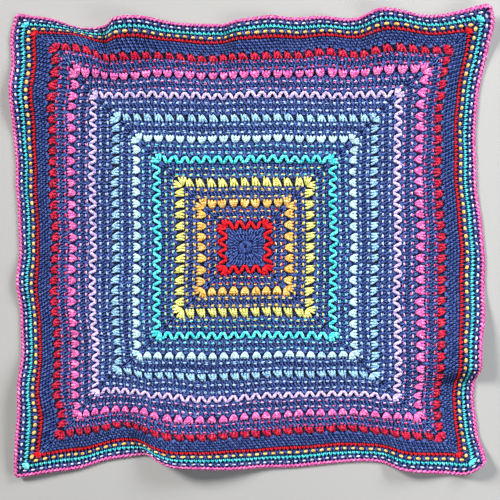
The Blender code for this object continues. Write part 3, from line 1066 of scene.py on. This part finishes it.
def navy_feet(kind, inner, outer, count):
    """Loops across the gaps of a gathered round.

    In the others a bump comes into each gap from the inner side. From the outer side a strip comes
    into each gap between shells, and a wedge into each V of a zigzag.
    """
    at_clusters = a_pitch_apart(inner, outer, count)
    at_gaps = a_pitch_apart(inner, outer, count, extra=1)
    made = at_corners(CORNER_STITCH, outer + CORNER_PAST)
    if kind == "gathered":
        return made + copies(LOOP, *at_gaps, outer, sides=4)
    made += copies(BUMP, *at_gaps, inner, sides=4, wobble=0.8)
    if kind == "shell":
        return made + copies(STRIP, *at_gaps, outer, sides=4, wobble=0.8)
    return made + copies(WEDGE, *at_clusters, outer, sides=4, wobble=0.8)


feet = sum([navy_feet(kind, inner, outer, count) for _, kind, inner, outer, count in ROUNDS], [])
worked("navy_feet", feet, materials["navy"])

# %% [markdown]
# ## Dashes
# In the rows next to each openwork round, every other navy stitch is slipped and a strand of the
# round's own yarn shows beside a strand of the next yarn, like two grains of rice. In about a third
# of the pairs the strands have crossed and changed places.

# %% Dashes in the plain rounds
GRAIN_OFFSET = 0.9
GRAIN_TIP = 1.7
GRAIN_BEND = 0.4
CROSSED_SHARE = 0.35


def grain(offset, radius=1.15, half=2.0, top=3.1):
    """One strand lying along the side, at an offset outward from the row, in millimetres."""
    path = (
        (-half - GRAIN_TIP, offset, 1.2),
        (-half, offset, top - GRAIN_BEND),
        (0.0, offset, top),
        (half, offset, top - GRAIN_BEND),
        (half + GRAIN_TIP, offset, 1.2),
    )
    return ((path, (0.85 * radius, radius, 0.85 * radius)),)


dashes = {name: [] for name in YARNS}
pairs = 0
for distance, inner_yarn, outer_yarn in DASH_ROWS:
    places = in_round(distance, DASH_PITCH, margin=DASH_MARGIN)
    crossed = rng.random(len(places[0])) < CROSSED_SHARE
    for offset, chosen in ((-GRAIN_OFFSET, ~crossed), (GRAIN_OFFSET, crossed)):
        some = [column[chosen] for column in places]
        dashes[inner_yarn] += copies(grain(offset), *some, wobble=1.5)
        dashes[outer_yarn] += copies(grain(-offset), *some, wobble=1.5)
    pairs += len(crossed)
print(pairs, "pairs of strands")

# %% [markdown]
# ## The border
# Four rows of navy come first, then a row of red and a row of turquoise single stitches, each followed
# by a navy row with thick dashes. At the corners the single stitches turn in a small fan of posts.

# %% Border stitches
# The rows by their distance from the centre
BORDER_NAVY = (0.3477, 0.3527, 0.3577, 0.3627)
RED_ROW = 0.3690
AMBER_ROW = 0.3770
TURQUOISE_ROW = 0.3855
WHITE_ROW = 0.3935
BORDER_STITCH = (
    (((-2.6, 2.9, 1.2), (-1.7, 1.9, 2.7), (0.4, -1.3, 2.4), (1.3, -2.8, 0.8)), (1.25, 1.20)),
    (((0.6, 2.6, 0.9), (1.3, 1.6, 2.1), (2.8, -0.9, 1.8), (3.5, -2.1, 0.7)), (1.00, 0.95)),
)
SINGLE_STITCH = (
    (((-0.9, 4.4, 1.4), (-1.1, 2.9, 2.4), (-1.8, -0.7, 2.8), (-1.7, -3.6, 1.3)), (1.0, 1.35)),
    (((-0.5, 3.0, 1.5), (0.1, 1.2, 2.6), (1.7, -1.4, 2.9), (1.3, -3.8, 1.3)), (1.1, 1.55)),
)
print("border rows", round((WHITE_ROW - BORDER_NAVY[0]) / MM, 1), "mm from the first to the last")

# %% The border's navy
BESIDE_DASHES = 2.6 * MM
BESIDE_LIFT = -0.4 * MM
# Heights where the painted shade between strands is full and where it ends
BORDER_LOW = 1.4 * MM
BORDER_HIGH = 4.1 * MM
border = []
for number, distance in enumerate(BORDER_NAVY):
    places = in_round(distance, EDGING_PITCH, between=number % 2 == 1)
    border += copies(BORDER_STITCH, *places, sides=4, wobble=0.7)
    border += at_corners(CORNER_STITCH, distance)
for distance in (AMBER_ROW, WHITE_ROW):
    border += copies(SLIPPED_STITCH, *in_round(distance, 2 * EDGING_PITCH, between=True))
    for offset in (BESIDE_DASHES, -BESIDE_DASHES):
        places = in_round(distance + offset, EDGING_PITCH)
        border += copies(MOSS_STITCH, *places, sides=4, lift=BESIDE_LIFT)
worked("navy_border", border, materials["navy"], low=BORDER_LOW, high=BORDER_HIGH)

# %% The border's dashes and single stitches
# Heights where the painted shade between strands is full and where it ends
DASH_LOW = 1.6 * MM
DASH_HIGH = 4.4 * MM
TURNING_FOOT = 4.5 * MM
turning_fan = corner_fan(9.5, (-42, -14, 14, 42), 1.8)

dashes["amber"] += copies(grain(0.0, 2.6, 2.3, 3.0), *in_round(AMBER_ROW, 2 * EDGING_PITCH), sides=6)
dashes["white"] += copies(grain(0.0, 1.8, 2.0, 3.0), *in_round(WHITE_ROW, 2 * EDGING_PITCH))
for colour, distance in (("red", RED_ROW), ("turquoise", TURQUOISE_ROW)):
    dashes[colour] += copies(SINGLE_STITCH, *in_round(distance, EDGING_PITCH), wobble=0.7)
    dashes[colour] += at_corners(turning_fan, distance - TURNING_FOOT, wobble=0.5)

for colour, parts in dashes.items():
    if parts:
        worked(f"{colour}_dashes", parts, materials[colour], DASH_LOW, DASH_HIGH)

# %% [markdown]
# ## The rope edging
# The last row is worked backwards, which twists each stitch over the one before. It is a round core
# carried round the square, with a slanting strand over it for every stitch.

# %% The rope edging
ROPE_DISTANCE = 0.4010
ROPE_CORE = 1.6 * MM
ROPE_HEIGHT = 2.0 * MM
# Heights where the painted shade between strands is full and where it ends
ROPE_LOW = 2.0 * MM
ROPE_HIGH = 4.4 * MM
ROPE_STITCH = (
    (((-4.0, -3.6, 0.9), (-2.7, -2.4, 2.4), (0.0, 0.0, 3.4), (2.6, 2.2, 2.5), (3.9, 3.1, 1.0)),
     (1.5, 1.8, 1.5)),
    (((-3.6, 2.9, 0.9), (-2.2, 2.6, 1.6), (1.0, 2.9, 1.8), (3.6, 2.8, 0.9)), (1.2, 1.2)),
)
turns = np.linspace(0, 2 * pi, 8, endpoint=False)
core = [(ROPE_DISTANCE - ROPE_CORE * cos(t), ROPE_HEIGHT + ROPE_CORE * sin(t)) for t in turns]
rope = [square_band(core)]
rope += copies(ROPE_STITCH, *in_round(ROPE_DISTANCE, EDGING_PITCH), wobble=0.5)
worked("rope_edging", rope, materials["pink"], low=ROPE_LOW, high=ROPE_HIGH)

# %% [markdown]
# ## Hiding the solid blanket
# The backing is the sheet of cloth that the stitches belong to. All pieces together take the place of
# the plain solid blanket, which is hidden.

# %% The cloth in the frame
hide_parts("blanket")

# %% [markdown]
# ## Floor
# The blanket lies on a plain pale floor, which takes its shadows and isn't part of it.

# %% Floor
FLOOR_SIZE = 6.0
FLOOR_COLOUR = (0.43, 0.425, 0.415, 1.0)
FLOOR_ROUGHNESS = 0.9
bpy.ops.mesh.primitive_plane_add(size=FLOOR_SIZE, location=(0, 0, 0))
floor = bpy.context.object
floor.name = "floor"
floor_material = bpy.data.materials.new("pale_floor")
floor_material.use_nodes = True
floor_shader = floor_material.node_tree.nodes["Principled BSDF"]
floor_shader.inputs["Base Color"].default_value = FLOOR_COLOUR
floor_shader.inputs["Roughness"].default_value = FLOOR_ROUGHNESS
floor.data.materials.append(floor_material)
print("floor", FLOOR_SIZE, "m wide")

# %% [markdown]
# ## Light
# Crochet needs light that rakes across it, or its stitches look printed. A strong lamp far off at the
# upper left does that and stays even across the cloth. Three weaker lamps nearer by and a faint sky
# keep the shadows open.

# %% Light
SKY_COLOUR = (0.80, 0.88, 1.0, 1.0)
SKY_STRENGTH = 0.05
world = bpy.data.worlds.new("studio")
world.use_nodes = True
world.node_tree.nodes["Background"].inputs["Color"].default_value = SKY_COLOUR
world.node_tree.nodes["Background"].inputs["Strength"].default_value = SKY_STRENGTH
bpy.context.scene.world = world
bpy.context.scene.view_settings.view_transform = "Standard"

# name, size in metres, power in watts, colour, place. Each looks at the middle of the blanket
LIGHTS = (
    ("key", 2.7, 1600, (1.0, 0.98, 0.95), (-7.0, 5.3, 4.40)),
    ("fill", 1.4, 60, (0.94, 0.97, 1.0), (2.6, -1.1, 1.40)),
    ("right", 1.4, 124, (0.94, 0.97, 1.0), (2.2, 2.1, 1.45)),
    ("left", 2.4, 18, (0.94, 0.97, 1.0), (-3.4, -4.8, 3.00)),
)
for name, size, power, colour, place in LIGHTS:
    lamp = bpy.data.lights.new(name, "AREA")
    lamp.shape = "DISK"
    lamp.size = size
    lamp.energy = power
    lamp.color = colour
    lamp_object = bpy.data.objects.new(name, lamp)
    lamp_object.location = place
    lamp_object.rotation_euler = (-Vector(place)).to_track_quat("-Z", "Y").to_euler()
    bpy.context.scene.collection.objects.link(lamp_object)
print(len(LIGHTS), "lamps")

# %% [markdown]
# ## Camera
# The camera looks straight down. Its height follows from how wide the view has to be, and its place
# from where the middle of the rounds should come in the picture.

# %% Camera
# The view's scale and side, and where the middle of the rounds is in it, in pixels
METRES_PER_PIXEL = 0.001752
IMAGE_SIDE = 500
PATTERN_CENTRE = (245.0, 247.5)
SENSOR = 36
LENS = 50
view_width = METRES_PER_PIXEL * IMAGE_SIDE
camera = bpy.data.cameras.new("camera")
camera.lens = LENS
camera.sensor_width = SENSOR
camera_object = bpy.data.objects.new("camera", camera)
camera_object.location = (
    (IMAGE_SIDE / 2 - PATTERN_CENTRE[0]) * METRES_PER_PIXEL,
    -(IMAGE_SIDE / 2 - PATTERN_CENTRE[1]) * METRES_PER_PIXEL,
    view_width / 2 / tan(atan(SENSOR / 2 / LENS)),
)
bpy.context.scene.collection.objects.link(camera_object)
bpy.context.scene.camera = camera_object
print("camera", round(camera_object.location.z, 3), "m above the floor")
